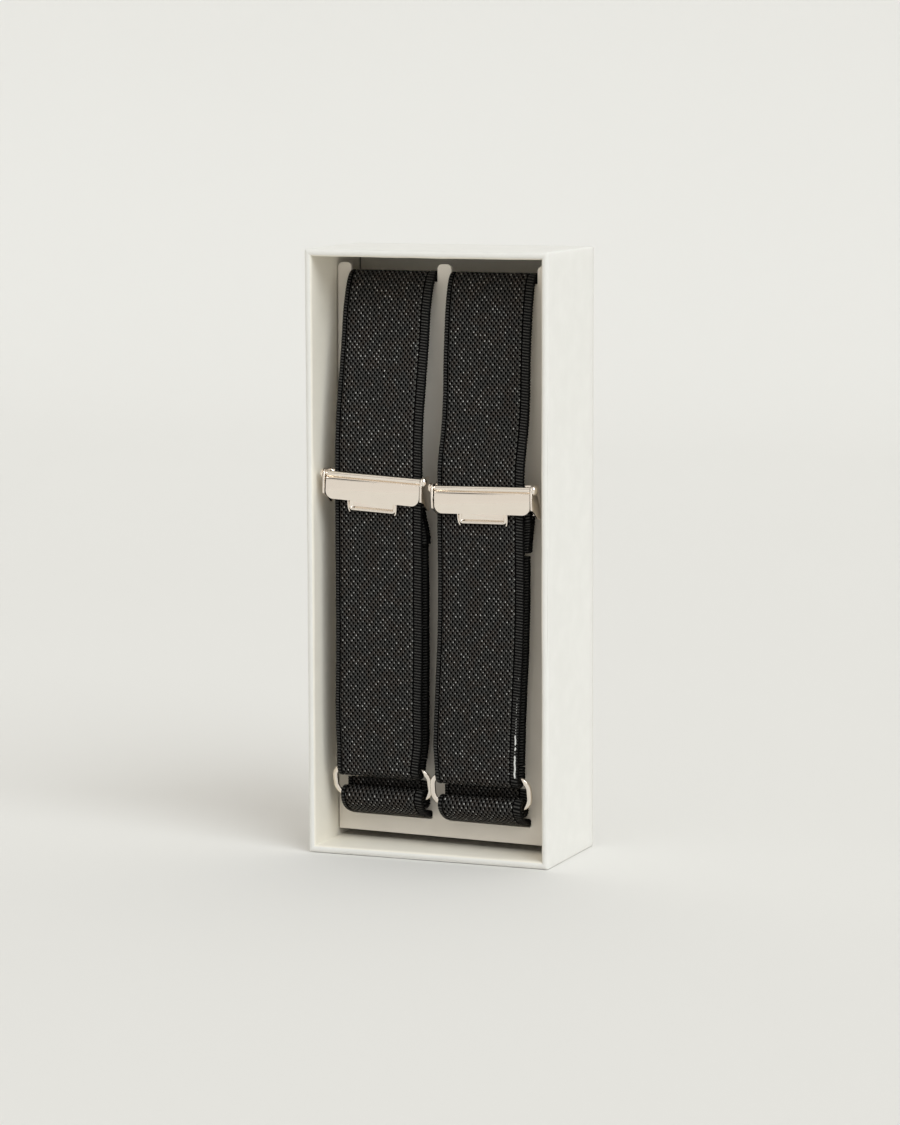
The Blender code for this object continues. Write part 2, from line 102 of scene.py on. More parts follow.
# Strap
STRAP_WIDTH = 0.0254
STRAP_NARROW = 0.0241
STRAP = 0.0014
STRAP_EDGE = 0.0005
FIT = 0.0003
TOP_BEND = 0.0023
STRAP_TOP = 0.1580
SLOT_LEVEL = 0.0099
LEAN_START = 0.030
LEAN_END = 0.070
FOLD_START = 0.0225
FOLD_END = 0.032
NARROW_START = 0.0225
NARROW_END = 0.034
JOIN_LEVEL = 0.026
TAIL_TURN = 0.0136
TAIL_TOP = 0.0194
SELVEDGE_RIGHT = 0.0023
SELVEDGE_LEFT = 0.00125
GROOVE = 0.0003
GROOVE_DEPTH = 0.00022
RIB_PITCH = 0.00078
RIB_HEIGHT = 0.00011
RIB_SCALLOP = 0.00016
ROWS_PER_RIB = 4
CELL_ACROSS = 1.32
CELL_ALONG = 0.775
# Offset of the painted knot highlight from each eyelet, in millimetres across and along.
KNOT_HIGHLIGHT_ASIDE = 0.40
KNOT_HIGHLIGHT_ABOVE = 0.16

# Ring
RING_HALF_WIDTH = 0.0147
RING_HALF_HEIGHT = 0.0048
RING_STRIP = 0.0014
RING_END_STRIP = 0.0015
RING_THICKNESS = 0.0011
RING_CORNER = 0.0038
LOWER_FOLD_INNER = 0.0011

# Adjuster, in its own frame: x along the pin, y backwards, z up, from the middle of the pin
EAR_INNER = 0.0139
EAR = 0.0006
HEAD_GAP = 0.0001
HEAD_LENGTH = 0.00105
HEAD_RADIUS = 0.0014
PIN_RADIUS = 0.0004
KNUCKLE = 0.0008
KNUCKLE_BORE = 0.0005
LEVER_HALF = 0.01365
LEVER_SHEET = 0.0005
LEVER_TOP = -0.00105
LEVER_BOTTOM = -0.0067
LEVER_CORNER = 0.0022
TAB_HALF = 0.0069
TAB_BOTTOM = -0.0094
TAB_CORNER = 0.0012
HOOK_DEPTH = 0.0005
TOOTH_PITCH = 0.0022
TOOTH_COUNT = 11
TOOTH_BASE = 0.00036
TOOTH_ROOT = 0.00055
TOOTH_TIP = 0.00095
STRAP_FRONT = 0.00105
ANVIL_FRONT = STRAP_FRONT + STRAP + FIT
SHEET = 0.0007
ANVIL_TOP = 0.0010
ANVIL_BOTTOM = -0.0022
STAMPING_BEVEL = 0.00014
BAR_FRONT = 0.00435
BAR_TOP = -0.0053
BAR_BOTTOM = -0.0073
LOOP_RADIUS = 0.0013
LOOP_CENTRE = BAR_FRONT + SHEET / 2
LOOP_TOP = -0.0056
LOOP_END = -0.0173
TAIL_Y = 0.00435
STITCH_RADIUS = 0.00022
STITCH_TOP = -0.0125
STITCH_BOTTOM = -0.0155
STITCH_HALF = 0.0105
STITCH_TURNS = 14
RETURN_GAP = 0.0010

FRAY_TOP = 0.052
FRAY_BOTTOM = 0.0235
FRAY_INSET = 0.0009
FRAY_STEP = 0.00025
FRAY_RADIUS = 0.00013
FRAY_SWAY = 0.00028
FRAY_LIFT = 0.00006

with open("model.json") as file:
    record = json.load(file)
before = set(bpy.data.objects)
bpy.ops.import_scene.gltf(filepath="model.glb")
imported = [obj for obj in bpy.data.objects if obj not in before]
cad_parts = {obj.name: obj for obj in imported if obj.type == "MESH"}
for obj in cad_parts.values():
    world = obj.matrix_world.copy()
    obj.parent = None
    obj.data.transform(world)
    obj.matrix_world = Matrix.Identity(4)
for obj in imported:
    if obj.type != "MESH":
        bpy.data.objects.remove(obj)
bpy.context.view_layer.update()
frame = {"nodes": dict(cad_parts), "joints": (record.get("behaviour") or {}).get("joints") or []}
JOINTS = {joint["name"]: joint for joint in frame["joints"]}


@dataclass
class Garter:
    """Where one garter lies. Each y and z is of a centreline or a centre."""

    side: str
    strap_x: float
    strap_width: float
    fold_x: float
    loop_shift: float
    front_y: float
    straight_top: float
    shoulder: tuple
    back_top_y: float
    back_bottom_y: float
    ring_tilt: float
    upper_fold_y: float
    upper_fold_inner: float

    def __post_init__(self):
        self.ring = Vector(JOINTS["ring_rock_" + self.side]["pos_m"])
        hinge = JOINTS["lever_hinge_" + self.side]
        self.pin = Vector(hinge["pos_m"])
        self.roll = math.atan2(hinge["axis"][2], -hinge["axis"][0])

    def ring_bar(self, side):
        """(y, z) of the upper (+1) or lower (-1) bar's middle."""
        reach = side * (RING_HALF_HEIGHT - RING_STRIP / 2)
        return (
            self.ring.y - reach * math.sin(self.ring_tilt),
            self.ring.z + reach * math.cos(self.ring_tilt),
        )

    def adjuster_matrix(self):
        return Matrix.Translation(self.pin) @ Matrix.Rotation(self.roll, 4, "Y")

    def width_and_middle(self, z):
        """The strap narrows and leans towards its ring."""
        width = STRAP_NARROW + (self.strap_width - STRAP_NARROW) * ease(z, NARROW_START, NARROW_END)
        middle = self.ring.x + (self.fold_x - self.ring.x) * ease(z, FOLD_START, FOLD_END)
        middle += (self.strap_x - self.fold_x) * ease(z, LEAN_START, LEAN_END)
        return width, middle


GARTERS = (
    Garter(
        side="left",
        strap_x=-0.01553,
        strap_width=0.0254,
        fold_x=-0.0159,
        loop_shift=0.0022,
        front_y=-0.0132,
        straight_top=0.106,
        shoulder=(
            (-0.0132, 0.118),
            (-0.0096, 0.130),
            (-0.0074, 0.144),
            (-0.0063, 0.151),
            (-0.0043, STRAP_TOP),
        ),
        back_top_y=0.0013,
        back_bottom_y=-0.0003,
        ring_tilt=math.radians(15),
        upper_fold_y=-0.0102,
        upper_fold_inner=0.0017,
    ),
    Garter(
        side="right",
        strap_x=0.01435,
        strap_width=0.0248,
        fold_x=0.01295,
        loop_shift=-0.0010,
        front_y=-0.0138,
        straight_top=0.105,
        shoulder=(
            (-0.0138, 0.111),
            (-0.0098, 0.116),
            (-0.0092, 0.130),
            (-0.0088, 0.144),
            (-0.0072, STRAP_TOP),
        ),
        back_top_y=-0.0009,
        back_bottom_y=-0.0025,
        ring_tilt=math.radians(10),
        upper_fold_y=-0.0119,
        upper_fold_inner=0.0015,
    ),
)


def ease(value, start, end):
    """0 at start, 1 at end, with a smooth step between."""
    t = min(1.0, max(0.0, (value - start) / (end - start)))
    return t * t * (3 - 2 * t)


# ---- materials ----


class Surface:
    """A Principled material and the nodes that feed it."""

    def __init__(self, name, **settings):
        self.material = bpy.data.materials.new(name)
        self.material.use_nodes = True
        self.tree = self.material.node_tree
        self.shader = self.tree.nodes["Principled BSDF"]
        for key, value in settings.items():
            self.feed(self.shader.inputs[key.replace("_", " ").title().replace("Ior", "IOR")], value)

    def feed(self, socket, value):
        if isinstance(value, bpy.types.NodeSocket):
            self.tree.links.new(value, socket)
        elif isinstance(value, tuple) and len(value) == 3 and socket.type == "RGBA":
            socket.default_value = (*value, 1.0)
        else:
            socket.default_value = value

    def node(self, kind, inputs=(), **settings):
        made = self.tree.nodes.new("ShaderNode" + kind)
        for key, value in settings.items():
            setattr(made, key, value)
        for key, value in dict(inputs).items():
            self.feed(made.inputs[key], value)
        return made

    def math(self, operation, *values, clamp=False):
        made = self.node("Math", operation=operation, use_clamp=clamp)
        for socket, value in zip(made.inputs, values):
            self.feed(socket, value)
        return made.outputs[0]

    def position(self):
        return self.node("TexCoord").outputs["Object"]

    def noise(self, vector, scale, detail=2.0, roughness=0.5):
        inputs = {"Vector": vector, "Scale": scale, "Detail": detail, "Roughness": roughness}
        return self.node("TexNoise", inputs).outputs["Fac"]

    def stretched(self, vector, scale):
        return self.node("Mapping", {"Vector": vector, "Scale": scale}).outputs["Vector"]

    def step(self, value, start, end, low=0.0, high=1.0):
        """A smooth step from low to high as value goes from start to end."""
        inputs = {"Value": value, "From Min": start, "From Max": end, "To Min": low, "To Max": high}
        return self.node("MapRange", inputs, interpolation_type="SMOOTHSTEP").outputs["Result"]

    def mix(self, factor, a, b):
        made = self.node("Mix", data_type="RGBA")
        self.feed(made.inputs["Factor"], factor)
        self.feed(made.inputs[6], a)
        self.feed(made.inputs[7], b)
        return made.outputs[2]

    def colour(self, value):
        self.feed(self.shader.inputs["Base Color"], value)

    def bump(self, height, distance, strength=1.0):
        inputs = {"Height": height, "Distance": distance, "Strength": strength}
        made = self.node("Bump", inputs)
        self.feed(self.shader.inputs["Normal"], made.outputs["Normal"])


def paper(name, light, dark, fleck=0.35, inside=None):
    """Wrapping paper or card: fine fibres, faint mottling and a slightly uneven sheen.

    If inside is given, the tray's inner faces have that lighter, warmer tone: painted light standing in for
    the warm light bounced round inside the tray.
    """
    made = Surface(name, specular_ior_level=0.3)
    at = made.position()
    mottle = made.noise(at, 180, 3)
    fibre = made.noise(made.stretched(at, (1.0, 1.0, 0.35)), 5200, 3, 0.7)
    grain = made.noise(at, 2100, 2)
    tone = made.math("ADD", made.math("MULTIPLY", mottle, 0.6), made.math("MULTIPLY", fibre, fleck))
    colour = made.mix(made.step(tone, 0.3, 0.7), dark, light)
    # Painted light: the inner faces get the lighter, warmer inside tone in place of bounce light inside the
    # tray.
    if inside:
        _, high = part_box("tray_wrap")
        split = made.node("SeparateXYZ", {"Vector": at})
        from_middle = made.math("ABSOLUTE", made.math("SUBTRACT", split.outputs["Z"], high.z / 2))
        off_centre = made.math("ABSOLUTE", split.outputs["X"])
        beside = made.step(off_centre, high.x - WALL * 0.75, high.x - WALL * 0.95)
        between = made.step(from_middle, high.z / 2 - WALL * 0.75, high.z / 2 - WALL * 0.95)
        before = made.step(split.outputs["Y"], high.y - WALL * 0.5, high.y - WALL * 0.7)
        inner = made.math("MULTIPLY", made.math("MULTIPLY", beside, between), before)
        # shade is the painted bounce-light tone of the inner faces, mottled like the paper.
        shade = made.mix(made.step(tone, 0.3, 0.7), tuple(0.96 * part for part in inside), inside)
        colour = made.mix(inner, colour, shade)
    made.colour(colour)
    made.feed(made.shader.inputs["Roughness"], made.step(grain, 0.3, 0.7, 0.62, 0.8))
    height = made.math("ADD", made.math("MULTIPLY", grain, 0.6), made.math("MULTIPLY", fibre, 0.4))
    made.bump(height, 0.00006, 0.5)
    return made.material


def greyboard():
    """Recycled board with coarse fibres and dark flecks."""
    made = Surface("greyboard_fibre", roughness=0.9)
    at = made.position()
    fleck = made.step(made.noise(at, 1900, 4, 0.7), 0.5, 0.7)
    made.colour(made.mix(fleck, (0.42, 0.39, 0.35), (0.22, 0.20, 0.18)))
    made.bump(made.noise(at, 1300, 3), 0.0001)
    return made.material


def webbing():
    """Bird's-eye elastic: staggered eyelets among knots, with a groove and a ribbed selvedge each side. Part
    of its light and shade is painted: highlights on the knots and rib crests, and near-black shade in the
    eyelets, the grooves and along the right edge.
    """
    made = Surface("webbing_weave")
    weave = made.node("Attribute", attribute_name="weave")
    split = made.node("SeparateXYZ", {"Vector": weave.outputs["Vector"]})
    across, along = split.outputs["X"], split.outputs["Y"]
    drift = made.math("SUBTRACT", made.noise(weave.outputs["Vector"], 0.9, 2), 0.5)
    wander = made.math("MULTIPLY", drift, 0.22)
    shifted = made.math("ADD", across, wander)
    lifted = made.math("ADD", along, made.math("MULTIPLY", wander, 0.6))

    column = made.math("COSINE", made.math("MULTIPLY", shifted, 2 * math.pi / CELL_ACROSS))
    row = made.math("COSINE", made.math("MULTIPLY", lifted, math.pi / CELL_ALONG))
    cell = made.math("MULTIPLY", column, row)
    # The eyelets are the weave's pattern; their near-black fill is painted shade inside the openings.
    eyelet_shade = made.step(cell, 0.02, 0.30)
    # Painted highlight: a lighter spot on the thread crest beside each eyelet, where the light catches it.
    aside = made.math("MULTIPLY", made.math("ADD", shifted, KNOT_HIGHLIGHT_ASIDE), 2 * math.pi / CELL_ACROSS)
    over = made.math("MULTIPLY", made.math("ADD", lifted, KNOT_HIGHLIGHT_ABOVE), math.pi / CELL_ALONG)
    beside = made.math("COSINE", aside)
    above = made.math("COSINE", over)
    knot_highlight = made.step(made.math("MULTIPLY", beside, above), 0.45, 0.95)

    cell_at = made.node("CombineXYZ")
    made.feed(cell_at.inputs[0], made.math("FLOOR", made.math("DIVIDE", shifted, CELL_ACROSS / 2)))
    made.feed(cell_at.inputs[1], made.math("FLOOR", made.math("DIVIDE", lifted, CELL_ALONG)))
    chance = made.node("TexWhiteNoise", {"Vector": cell_at.outputs[0]}).outputs["Value"]
    # Painted highlight: brighter glints on a few of those crests, picked by a random value per cell.
    glint = made.math("MULTIPLY", made.math("POWER", chance, 5.0), knot_highlight)
    filament = made.noise(made.stretched(weave.outputs["Vector"], (7.0, 2.2, 1.0)), 1.0, 3, 0.65)

    right = STRAP_WIDTH / MM
    ribbed = made.math(
        "ADD",
        made.step(across, right - SELVEDGE_RIGHT / MM - 0.05, right - SELVEDGE_RIGHT / MM + 0.05),
        made.step(across, SELVEDGE_LEFT / MM + 0.05, SELVEDGE_LEFT / MM - 0.05),
        clamp=True,
    )
    lean = made.math("ADD", along, made.math("MULTIPLY", across, 0.12))
    rib = made.math("COSINE", made.math("MULTIPLY", lean, 2 * math.pi * MM / RIB_PITCH))
    rib = made.step(rib, -0.3, 0.8)
    seam = right - (SELVEDGE_RIGHT + GROOVE / 2) / MM
    off_seam = made.math("ABSOLUTE", made.math("SUBTRACT", across, seam))
    off_left = made.math("ABSOLUTE", made.math("SUBTRACT", across, (SELVEDGE_LEFT + GROOVE / 2) / MM))
    groove = made.step(made.math("MINIMUM", off_seam, off_left), 0.24, 0.10)
    wale = made.step(made.math("ABSOLUTE", made.math("SUBTRACT", across, seam - 0.48)), 0.16, 0.06)
    wale = made.math("MULTIPLY", wale, made.step(rib, 0.3, 0.8))

    plain = made.mix(filament, (0.010, 0.010, 0.0095), (0.060, 0.0585, 0.056))
    tint = made.step(made.noise(weave.outputs["Vector"], 0.22, 2), 0.42, 0.62)
    plain = made.mix(tint, plain, made.mix(filament, (0.012, 0.010, 0.009), (0.068, 0.058, 0.051)))
    # Painted highlights: the knot crests lighter, and the glints lighter still.
    body = made.mix(made.math("MULTIPLY", knot_highlight, 0.7), plain, (0.150, 0.148, 0.142))
    body = made.mix(glint, body, (0.60, 0.60, 0.58))
    # Painted shade: the eyelets filled near-black.
    body = made.mix(eyelet_shade, body, (0.0006, 0.0006, 0.0006))
    # Painted light on the selvedge: the rib crests lighter as highlights, the hollows between them near-black
    # as shade, and the outermost 0.15-0.6 mm at the right edge darkened as painted shade on the strap's side.
    rib_highlight_and_side_shade = made.math("MULTIPLY", rib, made.step(filament, 0.2, 0.9))
    rib_highlight_and_side_shade = made.math("MULTIPLY", rib_highlight_and_side_shade, made.step(across, right - 0.15, right - 0.60))
    edge = made.mix(rib_highlight_and_side_shade, (0.0010, 0.0010, 0.0010), (0.150, 0.147, 0.140))
    body = made.mix(ribbed, body, edge)
    body = made.mix(wale, body, (0.11, 0.11, 0.10))
    # Painted shade: the groove beside each selvedge is filled near-black; the same mask also sinks the bump
    # height there.
    made.colour(made.mix(groove, body, (0.0015, 0.0015, 0.0015)))

    body_height = made.math("ADD", made.math("MULTIPLY", cell, -0.5), made.math("MULTIPLY", filament, 0.35))
    edge_height = made.math("ADD", made.math("MULTIPLY", rib, 0.5), made.math("MULTIPLY", filament, 0.2))
    height = made.node("Mix", data_type="FLOAT")
    made.feed(height.inputs[0], ribbed)
    made.feed(height.inputs[2], body_height)
    made.feed(height.inputs[3], edge_height)
    made.bump(made.math("SUBTRACT", height.outputs[0], groove), 0.00028)
    made.feed(made.shader.inputs["Roughness"], made.step(filament, 0.2, 0.8, 0.42, 0.62))
    shade = made.math("MAXIMUM", groove, made.math("MULTIPLY", eyelet_shade, made.math("SUBTRACT", 1.0, ribbed)))
    made.feed(made.shader.inputs["Specular IOR Level"], made.step(shade, 0.0, 0.4, 0.08, 0.0))
    return made.material


def nickel():
    """Stamped sheet with a bright nickel plate: fine rubbing marks along it and faint handling haze."""
    made = Surface("nickel_plate", metallic=1.0)
    at = made.position()
    brushed = made.noise(made.stretched(at, (1.0, 12.0, 12.0)), 900, 3, 0.6)
    haze = made.noise(at, 260, 3)
    scratch = made.step(made.noise(made.stretched(at, (1.0, 5.0, 9.0)), 420, 4, 0.75), 0.62, 0.66)
    made.colour(made.mix(haze, (0.94, 0.865, 0.78), (0.915, 0.835, 0.745)))
    rough = made.step(haze, 0.3, 0.75, 0.06, 0.10)
    made.feed(made.shader.inputs["Roughness"], made.math("ADD", rough, made.math("MULTIPLY", scratch, 0.06)))
    scored = made.math("MULTIPLY", scratch, 0.25)
    height = made.math("SUBTRACT", made.math("MULTIPLY", brushed, 0.35), scored)
    made.bump(height, 0.000003)
    return made.material


def thread(name, light, dark):
    """Twisted yarn: light and dark plies along a strand."""
    made = Surface(name, roughness=0.6, sheen_weight=0.2)
    at = made.position()
    ply = made.noise(made.stretched(at, (3.0, 1.0, 1.0)), 2600, 2)
    made.colour(made.mix(made.step(ply, 0.35, 0.65), dark, light))
    made.bump(ply, 0.00008)
    return made.material


def studio_paper():
    """The seamless sweep: near-even matt paper."""
    made = Surface("studio_sweep", roughness=0.9, specular_ior_level=0.1)
    tone = made.noise(made.position(), 3.0, 3)
    made.colour(made.mix(tone, (0.800, 0.790, 0.765), (0.812, 0.803, 0.779)))
    made.bump(made.noise(made.position(), 900, 2), 0.00005, 0.3)
    return made.material


# ---- meshes ----


def add_object(name, mesh, material):
    mesh.materials.clear()
    mesh.materials.append(material)
    made = bpy.data.objects.new(name, mesh)
    bpy.context.scene.collection.objects.link(made)
    return made


def mesh_from(name, points, faces):
    mesh = bpy.data.meshes.new(name)
    mesh.from_pydata([tuple(point) for point in points], [], faces)
    shape = bmesh.new()
    shape.from_mesh(mesh)
    bmesh.ops.recalc_face_normals(shape, faces=shape.faces)
    shape.to_mesh(mesh)
    shape.free()
    return mesh


def join_meshes(name, meshes):
    shape = bmesh.new()
    for mesh in meshes:
        shape.from_mesh(mesh)
    joined = bpy.data.meshes.new(name)
    shape.to_mesh(joined)
    shape.free()
    return joined


def bevelled(obj, width, segments=3, angle=35):
    """obj with its sharp edges rounded, as a stamping's or a die-cut's are."""
    modifier = obj.modifiers.new("bevel", "BEVEL")
    modifier.width = width
    modifier.segments = segments
    modifier.limit_method = "ANGLE"
    modifier.angle_limit = math.radians(angle)
    modifier.use_clamp_overlap = True
    modifier.harden_normals = True
    bpy.context.view_layer.update()
    graph = bpy.context.evaluated_depsgraph_get()
    mesh = bpy.data.meshes.new_from_object(obj.evaluated_get(graph))
    obj.modifiers.clear()
    obj.data = mesh
    return obj


def smooth(obj, angle=40):
    obj.data.shade_smooth()
    obj.data.set_sharp_from_angle(angle=math.radians(angle))
    return obj


def loop_faces(rows, count, closed=False, caps=True):
    """Quads between successive loops of count points, with both ends filled unless the rows are closed."""
    faces = []
    for row in range(rows if closed else rows - 1):
        a = row * count
        b = (row + 1) % rows * count
        for i in range(count):
            j = (i + 1) % count
            faces.append((a + i, a + j, b + j, b + i))
    if caps and not closed:
        faces.append(tuple(range(count)))
        faces.append(tuple((rows - 1) * count + i for i in range(count)))
    return faces


def loft(name, loops, closed=False, caps=True):
    points = [point for loop in loops for point in loop]
    return mesh_from(name, points, loop_faces(len(loops), len(loops[0]), closed, caps))


def arc(centre, radius, start, end, steps=12):
    """Points on an arc, with its angles in degrees from the first axis towards the second."""
    angles = [math.radians(start + (end - start) * i / steps) for i in range(steps + 1)]
    return [(centre[0] + radius * math.cos(a), centre[1] + radius * math.sin(a)) for a in angles]


def curve(a, b, c, d, steps=24):
    """Points on a cubic Bezier curve from a to d."""
    points = []
    for i in range(steps + 1):
        t = i / steps
        weights = ((1 - t) ** 3, 3 * t * (1 - t) ** 2, 3 * t * t * (1 - t), t**3)
        points.append(tuple(sum(w * p[k] for w, p in zip(weights, (a, b, c, d))) for k in (0, 1)))
    return points


def rounded_outline(left, right, bottom, top, radius, steps=6):
    """A closed outline, counterclockwise, of a rectangle with round corners."""
    corners = (
        (right - radius, bottom + radius, -90),
        (right - radius, top - radius, 0),
        (left + radius, top - radius, 90),
        (left + radius, bottom + radius, 180),
    )
    points = []
    for x, z, start in corners:
        points += arc((x, z), radius, start, start + 90, steps)
    return points


def resampled(path, step):
    """Points at even steps along a path of (y, z) pairs, with the distance to each."""
    path = np.array(path)
    lengths = np.hypot(*np.diff(path, axis=0).T)
    keep = np.concatenate([[True], lengths > 1e-6])
    path = path[keep]
    travelled = np.concatenate([[0], np.cumsum(np.hypot(*np.diff(path, axis=0).T))])
    at = np.linspace(0, travelled[-1], max(2, round(travelled[-1] / step)))
    return np.interp(at, travelled, path[:, 0]), np.interp(at, travelled, path[:, 1]), at


# ---- tray ----


def rim_wave(t, seed):
    """Slow unevenness of the wrapped board, from 0 to 1, so that it only ever goes one way."""
    slow = noise.noise(Vector((t * 5, seed, 0.3))) + 0.3 * noise.noise(Vector((t * 17, seed, 4.7)))
    return min(max(0.5 + 0.7 * slow, 0.0), 1.0)


def tray_loop(inset, y, wave, corner):
    """A loop round the tray, this far in from its outer sides, with round corners and uneven sides."""
    low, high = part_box("tray_wrap")
    left, right = low.x + inset, high.x - inset
    bottom, top = low.z + inset, high.z - inset
    radius = max(corner - inset, 0.00005)
    outline = []
    corners = (
        ((right - radius, bottom + radius), -90, (right, top - radius)),
        ((right - radius, top - radius), 0, (left + radius, top)),
        ((left + radius, top - radius), 90, (left, bottom + radius)),
        ((left + radius, bottom + radius), 180, (right - radius, bottom)),
    )
    for side, (centre, start, beyond) in enumerate(corners):
        bend = arc(centre, radius, start, start + 90, 4)
        outline += [(x, z, 0.0, 0.0) for x, z in bend]
        x0, z0 = bend[-1]
        normal = (math.cos(math.radians(start + 90)), math.sin(math.radians(start + 90)))
        steps = 46 if side in (1, 3) else 90
        for i in range(1, steps):
            t = i / steps
            shift = wave * rim_wave(t, side * 3.1) * math.sin(math.pi * t) ** 0.5
            x = x0 + (beyond[0] - x0) * t + normal[0] * shift
            z = z0 + (beyond[1] - z0) * t + normal[1] * shift
            outline.append((x, z, shift, t))
    return [(x, y + 0.6 * abs(shift), z) for x, z, shift, t in outline]


def make_tray():
    low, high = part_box("tray_wrap")
    front, back = low.y, high.y
    floor = back - WALL
    loops = [tray_loop(BACK_ROUND, back, 0.0, OUTER_CORNER)]
    loops.append(tray_loop(0.0, back - BACK_ROUND, 0.0, OUTER_CORNER))
    depth_steps = 14
    for i in range(1, depth_steps):
        y = back - BACK_ROUND + (front + RIM_ROUND - back + BACK_ROUND) * i / depth_steps
        loops.append(tray_loop(0.0, y, -RIM_WAVE * i / depth_steps, OUTER_CORNER))
    for inset, y in arc((RIM_ROUND, front + RIM_ROUND), RIM_ROUND, 180, 270, 6):
        loops.append(tray_loop(inset, y, -RIM_WAVE, OUTER_CORNER))
    for inset, y in reversed(arc((RIM_ROUND, front + RIM_ROUND), RIM_ROUND, 180, 270, 6)):
        loops.append(tray_loop(WALL - inset, y, -RIM_WAVE, OUTER_CORNER))
    for i in range(1, depth_steps):
        y = front + RIM_ROUND + (floor - LINER_GAP - front - RIM_ROUND) * i / depth_steps
        loops.append(tray_loop(WALL, y, -RIM_WAVE * (1 - i / depth_steps), OUTER_CORNER))
    skin = WALL - PAPER
    loops.append(tray_loop(WALL, floor - LINER_GAP, 0.0, OUTER_CORNER))
    loops.append(tray_loop(skin, floor - LINER_GAP, 0.0, OUTER_CORNER))
    loops.append(tray_loop(skin, front + 2 * PAPER, 0.0, OUTER_CORNER))
    loops.append(tray_loop(PAPER, front + 2 * PAPER, 0.0, OUTER_CORNER))
    loops.append(tray_loop(PAPER, back - PAPER, 0.0, OUTER_CORNER))
    tray = smooth(add_object("tray_wrapped", loft("tray_wrapped", loops), WRAP), 50)
    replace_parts(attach(tray, "tray"), "tray_wrap")


# ---- card ----


def card_front(x, z):
    low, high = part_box("card_insert")
    return CARD_FRONT_AT_TOP_LEFT - CARD_LEAN * (high.z - z) + CARD_SKEW * (x - low.x)


def card_outline():
    low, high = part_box("card_insert")
    outline = [(low.x, low.z), (high.x, low.z)]
    tabs = []
    right = high.x
    for garter in reversed(GARTERS):
        notch = garter.strap_width / 2 + FIT
        tabs.append((garter.strap_x + notch, right))
        right = garter.strap_x - notch
    tabs.append((low.x, right))
    for left, right in tabs:
        r = min(CARD_CORNER, (right - left) / 2 - 0.0001)
        if right != high.x:
            outline.append((right, NOTCH_BOTTOM))
        outline += arc((right - r, high.z - r), r, 0, 90, 6)
        outline += arc((left + r, high.z - r), r, 90, 180, 6)
        if left != low.x:
            outline.append((left, NOTCH_BOTTOM))
    return outline


def plate_mesh(name, outline, front, back, holes=()):
    """A plate in the XZ plane. front and back give its y at (x, z)."""
    shape = bmesh.new()
    edges = []
    for loop in (outline, *holes):
        corners = [shape.verts.new((x, front(x, z), z)) for x, z in loop]
        edges += [shape.edges.new((a, b)) for a, b in zip(corners, corners[1:] + corners[:1])]
    bmesh.ops.triangle_fill(shape, use_beauty=True, edges=edges, normal=(0, -1, 0))
    extruded = bmesh.ops.extrude_face_region(shape, geom=list(shape.faces))
    for item in extruded["geom"]:
        if isinstance(item, bmesh.types.BMVert):
            item.co.y = back(item.co.x, item.co.z)
    bmesh.ops.recalc_face_normals(shape, faces=shape.faces)
    mesh = bpy.data.meshes.new(name)
    shape.to_mesh(mesh)
    shape.free()
    return mesh


def flat_plate(name, outline, front, back):
    return plate_mesh(name, outline, lambda x, z: front, lambda x, z: back)


def make_card():
    slots = []
    for garter in GARTERS:
        half = SLOT_WIDTH / 2
        x = garter.ring.x
        slots.append(rounded_outline(x - half, x + half, SLOT_BOTTOM, SLOT_TOP, SLOT_CORNER))
    mesh = plate_mesh(
        "card_die_cut",
        card_outline(),
        card_front,
        lambda x, z: card_front(x, z) + CARD_THICKNESS,
        slots,
    )
    card = bevelled(add_object("card_die_cut", mesh, CARD), CARD_BEVEL, 2, 60)
    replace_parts(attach(card, "insert"), "card_insert")


# ---- straps ----


def across_stations():
    """Distances from the strap's left edge, close together at its edges and grooves."""
    left = [0.0, 0.12, 0.3, 0.55, 0.9, 1.15, 1.3, 1.45, 1.7]
    seam = (STRAP_WIDTH - SELVEDGE_RIGHT) / MM
    right = [seam - 0.5, seam - 0.3, seam - 0.15, seam, seam + 0.2]
    edge = STRAP_WIDTH / MM
    right += [edge - 1.7, edge - 1.2, edge - 0.8, edge - 0.5, edge - 0.28, edge - 0.1, edge]
    middle = np.linspace(left[-1], right[0], 10)[1:-1]
    return np.array(left + list(middle) + right) * MM


def section(stations):
    """(distance across, distance out, rib share) round the strap: its outer face, then its inner face."""
    seam = STRAP_WIDTH - SELVEDGE_RIGHT - GROOVE / 2
    left_seam = SELVEDGE_LEFT + GROOVE / 2
    points = []
    for station in stations:
        edge = min(station, STRAP_WIDTH - station)
        inward = max(0.0, 1 - edge / STRAP_EDGE)
        rise = STRAP / 2 * math.sqrt(1 - inward**2)
        near = min(abs(station - seam), abs(station - left_seam))
        rise -= GROOVE_DEPTH * max(0.0, 1 - near / GROOVE) ** 0.7
        ribbed = station > seam or station < left_seam
        points.append((station, rise, 1.0 if ribbed else 0.0))
    for station in stations[::-3][1:-1]:
        edge = min(station, STRAP_WIDTH - station)
        inward = max(0.0, 1 - edge / STRAP_EDGE)
        points.append((station, -STRAP / 2 * math.sqrt(1 - inward**2), 0.0))
    return points


SECTION = section(across_stations())


